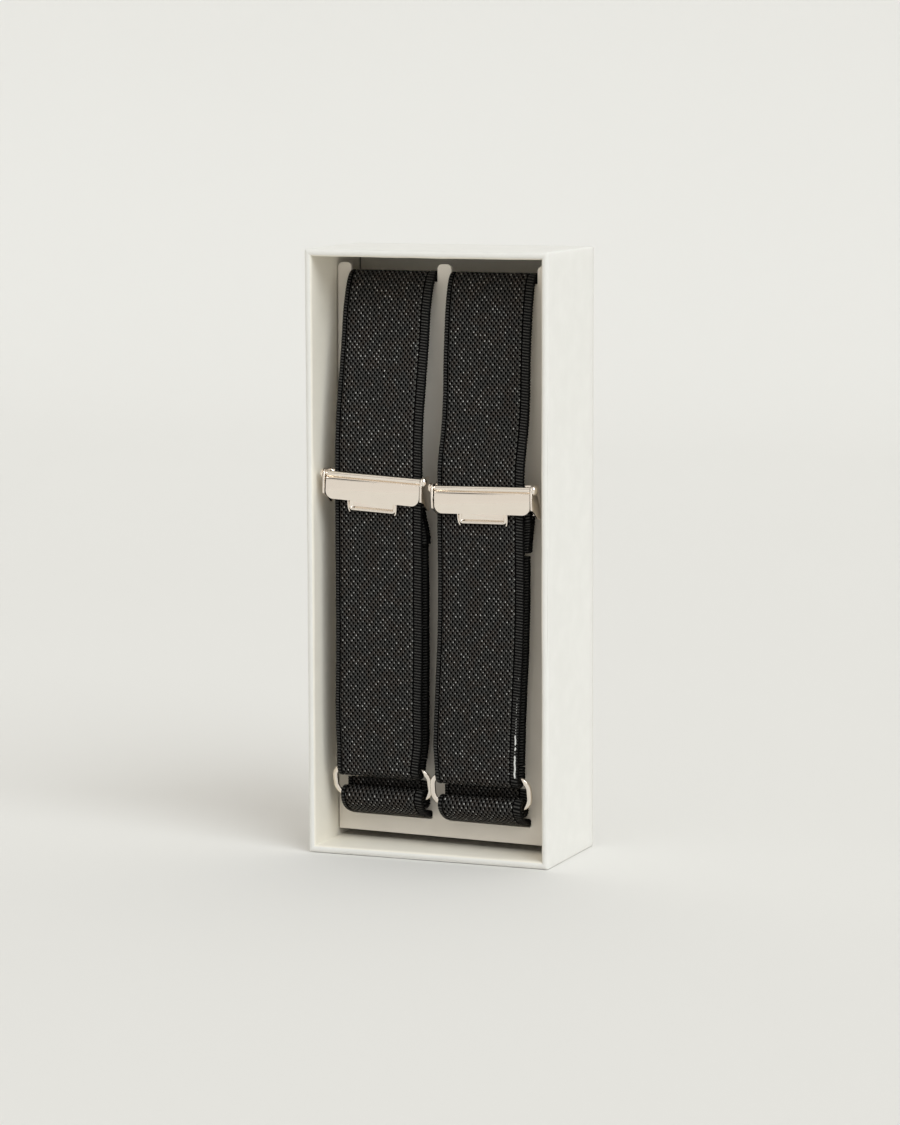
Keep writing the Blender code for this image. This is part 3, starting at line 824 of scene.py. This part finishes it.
def sweep_strap(name, path, width_and_middle, seed, matrix=None, rows_per_rib=ROWS_PER_RIB):
    """A woven strap along path, a list of (y, z). Its ribs are real, and its edges are scalloped by them."""
    ys, zs, along = resampled(path, RIB_PITCH / rows_per_rib)
    dy, dz = np.gradient(ys), np.gradient(zs)
    length = np.hypot(dy, dz)
    out_y, out_z = -dz / length, dy / length
    count = len(SECTION)
    points = np.empty((len(ys), count, 3))
    weave = np.empty((len(ys), count, 3))
    for i, (y, z, s) in enumerate(zip(ys, zs, along)):
        width, middle = width_and_middle(z)
        rib = 0.5 + 0.5 * math.cos(2 * math.pi * s / RIB_PITCH)
        drift = 0.00012 * noise.noise(Vector((s * 90, seed, 1.5)))
        for k, (station, rise, ribbed) in enumerate(SECTION):
            share = station / STRAP_WIDTH - 0.5
            x = middle + share * width + drift
            reach = rise
            if ribbed:
                reach += RIB_HEIGHT * (rib - 0.6)
                x += math.copysign(RIB_SCALLOP * (rib - 1.0), share) * min(1.0, abs(share) * 2) ** 12
            swell = 0.00007 * noise.noise(Vector((station * 250, s * 120, seed)))
            reach += swell if rise > 0 else 0.0
            points[i, k] = (x, y + out_y[i] * reach, z + out_z[i] * reach)
            weave[i, k] = (station / MM, s / MM + seed, 0.0)
    mesh = mesh_from(name, points.reshape(-1, 3), loop_faces(len(ys), count))
    attribute = mesh.attributes.new("weave", "FLOAT_VECTOR", "POINT")
    attribute.data.foreach_set("vector", weave.reshape(-1).astype(np.float32))
    if matrix:
        mesh.transform(matrix)
    strap = smooth(add_object(name, mesh, WEBBING), 70)
    return strap


def band_path(garter):
    """The centreline from behind the ring, up the front, over and behind the card, and back to the ring."""
    tilt = garter.ring_tilt
    reach = math.hypot(RING_STRIP / 2 * math.cos(tilt), RING_THICKNESS / 2 * math.sin(tilt))

    upper_y = garter.upper_fold_y
    upper_z = garter.ring_bar(1)[1] - reach - FIT + garter.upper_fold_inner
    radius = garter.upper_fold_inner + STRAP / 2
    path = [(upper_y + radius, JOIN_LEVEL)]
    path += arc((upper_y, upper_z), radius, 0, -180, 24)
    front = upper_y - radius
    path += curve((front, upper_z + 0.001), (front, 0.034), (garter.front_y, 0.038), (garter.front_y, 0.050))

    start = (garter.front_y, garter.straight_top)
    first, second, middle, third, fourth = garter.shoulder
    top = (garter.back_top_y - TOP_BEND, STRAP_TOP)
    path += curve(start, first, second, middle, 40)
    path += curve(middle, third, fourth, top, 40)
    path += arc((top[0], STRAP_TOP - TOP_BEND), TOP_BEND, 90, 0, 16)

    slot_centre = (garter.back_bottom_y - TOP_BEND, SLOT_LEVEL + TOP_BEND)
    path += arc(slot_centre, TOP_BEND, 0, -90, 16)

    bar_y, bar_z = garter.ring_bar(-1)
    lower_z = bar_z + reach + FIT - LOWER_FOLD_INNER
    radius = LOWER_FOLD_INNER + STRAP / 2
    front = bar_y - radius
    path += curve(
        (slot_centre[0], SLOT_LEVEL),
        (slot_centre[0] - 0.0022, SLOT_LEVEL + 0.0001),
        (front + 0.0005, SLOT_LEVEL + 0.0019),
        (front, lower_z),
    )
    path += arc((bar_y, lower_z), radius, 180, 0, 20)
    tail_y = card_front(garter.ring.x + STRAP_NARROW / 2, TAIL_TURN) - FIT - STRAP / 2
    turn = (tail_y - bar_y - radius) / 2
    path += arc((tail_y - turn, TAIL_TURN), turn, -180, 0, 16)
    path.append((tail_y, TAIL_TOP))
    return path


def make_straps(garter, seed):
    path = band_path(garter)
    band = sweep_strap("webbing_band_" + garter.side, path, garter.width_and_middle, seed)
    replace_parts(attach(band, "insert"), "elastic_band_" + garter.side)

    low = (garter.upper_fold_y + garter.upper_fold_inner + STRAP / 2, JOIN_LEVEL + FIT)
    high = (garter.pin.y + LOOP_CENTRE + LOOP_RADIUS, garter.pin.z + LOOP_END - RETURN_GAP)
    layer = sweep_strap("webbing_return_" + garter.side, [high, low], garter.width_and_middle, seed + 7.3)
    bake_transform(layer)
    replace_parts(layer, "return_layer_" + garter.side)


def make_fray(garter, seed):
    """A white elastic core, bared where the right selvedge has frayed: broken above, whole lower down."""
    chance = random.Random(seed)
    ys, zs, _ = resampled(band_path(garter), FRAY_STEP)
    front = [(y, z) for y, z in zip(ys, zs) if FRAY_BOTTOM < z < FRAY_TOP and y < garter.upper_fold_y]
    strands = []
    strand = []
    for y, z in front:
        down = (FRAY_TOP - z) / (FRAY_TOP - FRAY_BOTTOM)
        shown = math.sin(2 * math.pi * z / RIB_PITCH) > 1.0 - 2.5 * down**0.6 + chance.uniform(-0.5, 0.5)
        if not shown:
            strands.append(strand)
            strand = []
            continue
        width, middle = garter.width_and_middle(z)
        sway = FRAY_SWAY * noise.noise(Vector((z * 700, seed, 2.0)))
        x = middle + width / 2 - FRAY_INSET + sway
        strand.append((x, y - STRAP / 2 - FRAY_LIFT - 0.0001 * down, z, FRAY_RADIUS * (1 + down)))
    strands.append(strand)
    meshes = []
    for strand in strands:
        if len(strand) < 2:
            continue
        loops = []
        for i, (x, y, z, radius) in enumerate(strand):
            fade = 0.35 if i in (0, len(strand) - 1) else 1.0
            radius *= fade * (1 + 0.3 * noise.noise(Vector((z * 2500, seed, 5.0))))
            angles = [2 * math.pi * k / 8 for k in range(8)]
            loops.append([(x + radius * math.cos(a), y + 0.7 * radius * math.sin(a), z) for a in angles])
        meshes.append(loft("strand", loops))
    fray = smooth(add_object("elastic_core_fray_" + garter.side, join_meshes("fray", meshes), FRAY), 60)
    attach(fray, "insert")


# ---- ring ----


def make_ring(garter):
    """A flattened wire bent to a rounded oblong: oval bars inside the folds and broader, squarer ends."""
    half_strip = RING_STRIP / 2
    x = RING_HALF_WIDTH - half_strip
    z = RING_HALF_HEIGHT - half_strip
    route = rounded_outline(-x, x, -z, z, RING_CORNER - half_strip, 16)
    loops = []
    for i, here in enumerate(route):
        before = Vector(route[i - 1])
        after = Vector(route[(i + 1) % len(route)])
        along = (after - before).normalized()
        out = Vector((along.y, -along.x))
        broad = ease(abs(here[0]), x - 0.0030, x - 0.0006)
        strip = half_strip + (RING_END_STRIP - RING_STRIP) / 2 * broad
        inward = strip - half_strip
        fullness = 1.0 - 0.25 * broad
        loop = []
        for k in range(20):
            angle = 2 * math.pi * k / 20
            level = math.copysign(abs(math.cos(angle)) ** fullness, math.cos(angle))
            shift = out * (strip * level - inward)
            depth = RING_THICKNESS / 2 * math.copysign(abs(math.sin(angle)) ** fullness, math.sin(angle))
            loop.append((here[0] + shift.x, depth, here[1] + shift.y))
        loops.append(loop)
    mesh = loft("ring_oval", loops, closed=True)
    mesh.transform(Matrix.Translation(garter.ring) @ Matrix.Rotation(garter.ring_tilt, 4, "X"))
    ring = smooth(add_object("ring_wire_" + garter.side, mesh, NICKEL), 80)
    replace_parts(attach(ring, "ring_" + garter.side), "oval_ring_" + garter.side)


# ---- adjuster ----


def side_plate(name, outline, left, right):
    """A plate in the YZ plane, from x = left to x = right."""
    loops = [[(x, y, z) for y, z in outline] for x in (left, right)]
    return loft(name, loops)


def turned(name, profile, steps=40):
    """A solid of revolution about X, from (x, radius) points that start and end at radius 0."""
    loops = []
    for x, radius in profile[1:-1]:
        angles = [2 * math.pi * i / steps for i in range(steps)]
        loops.append([(x, radius * math.cos(a), radius * math.sin(a)) for a in angles])
    return loft(name, loops)


def box_plate(name, low, high):
    outline = ((low[1], low[2]), (high[1], low[2]), (high[1], high[2]), (low[1], high[2]))
    return side_plate(name, outline, low[0], high[0])


def adjuster_piece(name, garter, meshes, body, node, bevel=None, angle=40):
    mesh = join_meshes(name, meshes)
    mesh.transform(garter.adjuster_matrix())
    made = add_object(name + "_" + garter.side, mesh, NICKEL)
    if bevel:
        bevelled(made, bevel)
    smooth(made, angle)
    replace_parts(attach(made, body + "_" + garter.side), node + "_" + garter.side)
    return made


def make_frame(garter):
    """Two ears, joined by the plate that backs the teeth and by the bar that holds the strap's end."""
    outline = arc((0, 0), 0.00125, 60, 180, 12)
    outline += curve((-0.00125, -0.0012), (-0.0012, -0.0030), (-0.0011, -0.0042), (-0.0010, -0.0050), 6)
    outline += arc((-0.00055, -0.0051), 0.00045, 190, 280, 5)
    outline += [(0.0009, -0.0062), (0.0036, -0.0080)]
    outline += arc((0.0048, -0.0076), 0.0007, -90, 0, 6)
    outline += [(0.0055, -0.0046), (0.0042, 0.0004)]
    outline += arc((0.0035, 0.0007), 0.0006, 20, 90, 5)
    meshes = [side_plate("ear", outline, left, left + EAR) for left in (-EAR_INNER - EAR, EAR_INNER)]
    reach = EAR_INNER + EAR / 2
    low, high = (-reach, ANVIL_FRONT, ANVIL_BOTTOM), (reach, ANVIL_FRONT + SHEET, ANVIL_TOP)
    meshes.append(box_plate("anvil", low, high))
    meshes.append(box_plate("bar", (-reach, BAR_FRONT, BAR_BOTTOM), (reach, BAR_FRONT + SHEET, BAR_TOP)))
    adjuster_piece("adjuster_stamping", garter, meshes, "adjuster", "adjuster_frame", STAMPING_BEVEL)


def make_pin(garter):
    """A plain shaft with a domed head outside each ear."""
    base = EAR_INNER + EAR + HEAD_GAP
    profile = [(-base - HEAD_LENGTH, 0), (-base - HEAD_LENGTH, 0.00005)]
    dome = arc((0, 0), 1.0, 8, 90, 12)
    profile += [(-base - HEAD_LENGTH * along, HEAD_RADIUS * up) for along, up in dome]
    profile += [(-base + 0.00002, HEAD_RADIUS * 0.94), (-base + 0.00004, PIN_RADIUS)]
    mirrored = [(-x, radius) for x, radius in reversed(profile)]
    pin = turned("pin", profile + mirrored)
    adjuster_piece("pin_riveted", garter, [pin], "adjuster", "lever_pin", angle=50)


def lever_sheet():
    """The lever's plate in its own frame: a flat face with round lower corners, whose top meets the roll's
    neck.
    """
    half = LEVER_HALF
    corner = LEVER_CORNER
    outline = arc((half - corner, LEVER_BOTTOM + corner), corner, -90, 0, 12)
    outline += [(half, LEVER_TOP), (-half, LEVER_TOP)]
    outline += arc((-half + corner, LEVER_BOTTOM + corner), corner, 180, 270, 12)
    return flat_plate("plate", outline, -KNUCKLE, -KNUCKLE + LEVER_SHEET)


def roll_mesh():
    """The sheet's top, curled round the pin and back to the plate."""
    outer = arc((0, 0), KNUCKLE, 247, -55, 36)
    inner = arc((0, 0), KNUCKLE_BORE, -55, 247, 36)
    neck = [(-KNUCKLE + LEVER_SHEET, LEVER_TOP - 0.0002), (-KNUCKLE + 0.00012, LEVER_TOP - 0.0002)]
    profile = inner + neck + [(-0.00058, LEVER_TOP + 0.00012)] + outer
    return side_plate("roll", profile, -LEVER_HALF, LEVER_HALF)


def tab_mesh():
    """The finger tab: a pressed channel inside a rounded lip."""
    levels = (
        (0.00000, 0.00055),
        (0.00000, 0.00005),
        (0.00006, -0.00018),
        (0.00020, -0.00032),
        (0.00042, -0.00036),
        (0.00066, -0.00028),
        (0.00084, -0.00008),
        (0.00096, 0.00014),
        (0.00112, 0.00028),
    )
    top = LEVER_BOTTOM + 0.0006
    loops = []
    for inset, y in levels:
        radius = max(TAB_CORNER - inset, 0.0002)
        half = TAB_HALF - inset
        outline = rounded_outline(-half, half, TAB_BOTTOM + inset, top - inset / 2, radius, 8)
        loops.append([(x, y, z) for x, z in outline])
    return loft("tab", loops)


def hook_mesh(side):
    """The end of the tab's flange, turned down past the lip."""
    loops = []
    for i in range(9):
        t = i / 8
        z = LEVER_BOTTOM + 0.0004 + (TAB_BOTTOM - LEVER_BOTTOM - 0.0008) * t
        x = side * (TAB_HALF + 0.00012 - 0.00045 * t**4)
        y = -0.0004 + 0.0006 * t * t
        half = 0.00016
        front, back = y - half, y + HOOK_DEPTH
        loops.append([(x - half, front, z), (x + half, front, z), (x + half, back, z), (x - half, back, z)])
    return loft("hook", loops)


def teeth_mesh():
    reach = TOOTH_PITCH * TOOTH_COUNT / 2
    comb = [(reach, TOOTH_BASE), (-reach, TOOTH_BASE)]
    for i in range(TOOTH_COUNT):
        left = -reach + i * TOOTH_PITCH
        comb += [(left, TOOTH_ROOT), (left + TOOTH_PITCH / 2, TOOTH_TIP)]
    comb.append((reach, TOOTH_ROOT))
    return loft("teeth", [[(x, y, z) for x, y in comb] for z in (-0.0007, -0.0003)])


def make_lever(garter):
    meshes = [lever_sheet(), roll_mesh(), tab_mesh(), teeth_mesh()]
    meshes += [hook_mesh(side) for side in (-1, 1)]
    adjuster_piece("lever_stamping", garter, meshes, "lever", "adjuster_lever", 0.00009, 32)


def end_loop_path():
    """The strap's end, up behind the bar, over it, and down in front of it to the end of the tail."""
    y = LOOP_CENTRE + LOOP_RADIUS
    front = LOOP_CENTRE - LOOP_RADIUS
    path = [(y, LOOP_END)]
    path += arc((LOOP_CENTRE, LOOP_TOP), LOOP_RADIUS, 0, 180, 24)
    below = BAR_BOTTOM - FIT
    leaving = ((front, below), (front, below - 0.002))
    path += curve(*leaving, (TAIL_Y, below - 0.0015), (TAIL_Y, below - 0.0035), 12)
    path.append((TAIL_Y, LOOP_END))
    return path


def make_end_loop(garter, seed):

    def drift(z):
        return garter.loop_shift * ease(z, LOOP_TOP, LOOP_END)

    loop = sweep_strap(
        "webbing_end_loop_" + garter.side,
        end_loop_path(),
        lambda z: (STRAP_WIDTH, drift(z)),
        seed,
        garter.adjuster_matrix(),
    )
    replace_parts(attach(loop, "adjuster_" + garter.side), "adjuster_end_loop_" + garter.side)

    y = LOOP_CENTRE + LOOP_RADIUS + STRAP / 2 + 0.00008
    route = []
    for i in range(2 * STITCH_TURNS):
        for k in range(6):
            t = k / 6
            x = drift(STITCH_BOTTOM) - STITCH_HALF + STITCH_HALF * (i + t) / STITCH_TURNS
            z = STITCH_BOTTOM + (STITCH_TOP - STITCH_BOTTOM) * (t if i % 2 == 0 else 1 - t)
            route.append(Vector((x, y + 0.00016 * math.sin(math.pi * t), z)))
    loops = []
    for i, here in enumerate(route):
        along = (route[min(i + 1, len(route) - 1)] - route[max(i - 1, 0)]).normalized()
        out = Vector((0, 1, 0))
        sideways = along.cross(out).normalized()
        angles = [2 * math.pi * k / 8 for k in range(8)]
        loops.append([here + STITCH_RADIUS * (sideways * math.cos(a) + out * math.sin(a)) for a in angles])
    mesh = loft("stitches", loops)
    mesh.transform(garter.adjuster_matrix())
    stitches = smooth(add_object("zigzag_stitches_" + garter.side, mesh, THREAD), 60)
    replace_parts(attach(stitches, "adjuster_" + garter.side), "adjuster_stitching_" + garter.side)


# ---- studio ----


def make_studio():
    profile = [(-FLOOR_HALF, 0.0), (FLOOR_BACK, 0.0)]
    profile += arc((FLOOR_BACK, FLOOR_CURVE), FLOOR_CURVE, -90, 0, 24)[1:]
    profile.append((FLOOR_BACK + FLOOR_CURVE, BACKDROP_HEIGHT))
    points = [(x, y, z) for y, z in profile for x in (-FLOOR_HALF, FLOOR_HALF)]
    faces = [(2 * i, 2 * i + 1, 2 * i + 3, 2 * i + 2) for i in range(len(profile) - 1)]
    floor = smooth(add_object("studio_floor", mesh_from("studio_floor", points, faces), studio_paper()))

    data = bpy.data.lights.new("key_soft", "SUN")
    data.energy = KEY_STRENGTH
    data.angle = KEY_SPREAD
    data.color = KEY_COLOUR
    lamp = bpy.data.objects.new("key_soft", data)
    level = math.cos(KEY_HEIGHT)
    towards = Vector((math.sin(KEY_TURN) * level, -math.cos(KEY_TURN) * level, math.sin(KEY_HEIGHT)))
    lamp.rotation_euler = (-towards).to_track_quat("-Z", "Y").to_euler()
    bpy.context.scene.collection.objects.link(lamp)

    world = bpy.data.worlds.new("studio_room")
    bpy.context.scene.world = world
    world.use_nodes = True
    tree = world.node_tree
    ramp = tree.nodes.new("ShaderNodeValToRGB")
    for place, level in ROOM_LEVELS[2:]:
        ramp.color_ramp.elements.new(place)
    for element, (place, level) in zip(ramp.color_ramp.elements, ROOM_LEVELS):
        element.position = place
        element.color = (*(level * share for share in ROOM_COLOUR), 1.0)
    coordinates = tree.nodes.new("ShaderNodeTexCoord")
    split = tree.nodes.new("ShaderNodeSeparateXYZ")
    height = tree.nodes.new("ShaderNodeMapRange")
    height.inputs["From Min"].default_value = -1.0
    tree.links.new(coordinates.outputs["Generated"], split.inputs[0])
    tree.links.new(split.outputs["Z"], height.inputs["Value"])
    tree.links.new(height.outputs["Result"], ramp.inputs[0])
    tree.links.new(ramp.outputs["Color"], tree.nodes["Background"].inputs["Color"])
    tree.nodes["Background"].inputs["Strength"].default_value = 1.0

    yaw, pitch = CAMERA_YAW, CAMERA_PITCH
    back = Vector((math.sin(yaw) * math.cos(pitch), -math.cos(yaw) * math.cos(pitch), math.sin(pitch)))
    look = (-back).to_track_quat("-Z", "Y").to_matrix().to_4x4()
    data = bpy.data.cameras.new("camera")
    data.lens = CAMERA_LENS
    data.clip_start = 0.05
    data.clip_end = 20.0
    camera = bpy.data.objects.new("camera", data)
    camera.matrix_world = Matrix.Translation(CAMERA_AT) @ look @ Matrix.Rotation(CAMERA_ROLL, 4, "Z")
    bpy.context.scene.collection.objects.link(camera)
    bpy.context.scene.camera = camera
    bpy.context.scene.view_settings.view_transform = "Standard"


# ---- the scene ----

for old in [o for o in bpy.data.objects if o.type in ("CAMERA", "LIGHT")]:
    bpy.data.objects.remove(old)

# The wrap's inside tone is painted bounce light: the tray's inner faces are lighter and warmer than its outer
# paper.
WRAP = paper("wrap_paper", (0.855, 0.845, 0.810), (0.820, 0.810, 0.775), inside=(0.95, 0.905, 0.80))
LINER = paper("liner_paper", (0.90, 0.86, 0.77), (0.87, 0.83, 0.74))
CARD = paper("card_stock", (0.85, 0.80, 0.725), (0.82, 0.77, 0.695), 0.25)
BOARD = greyboard()
WEBBING = webbing()
NICKEL = nickel()
THREAD = thread("black_thread", (0.040, 0.040, 0.038), (0.008, 0.008, 0.008))
FRAY = thread("white_elastic_core", (0.86, 0.86, 0.84), (0.55, 0.55, 0.54))

for node, material in (("base_liner", LINER), ("tray_board", BOARD)):
    mesh = frame["nodes"][node].data
    mesh.materials.clear()
    mesh.materials.append(material)

make_tray()
make_card()
for number, garter in enumerate(GARTERS):
    make_straps(garter, 11.0 * number + 0.4)
    make_ring(garter)
    make_frame(garter)
    make_pin(garter)
    make_lever(garter)
    make_end_loop(garter, 11.0 * number + 4.1)
make_fray(GARTERS[1], 3)
make_studio()
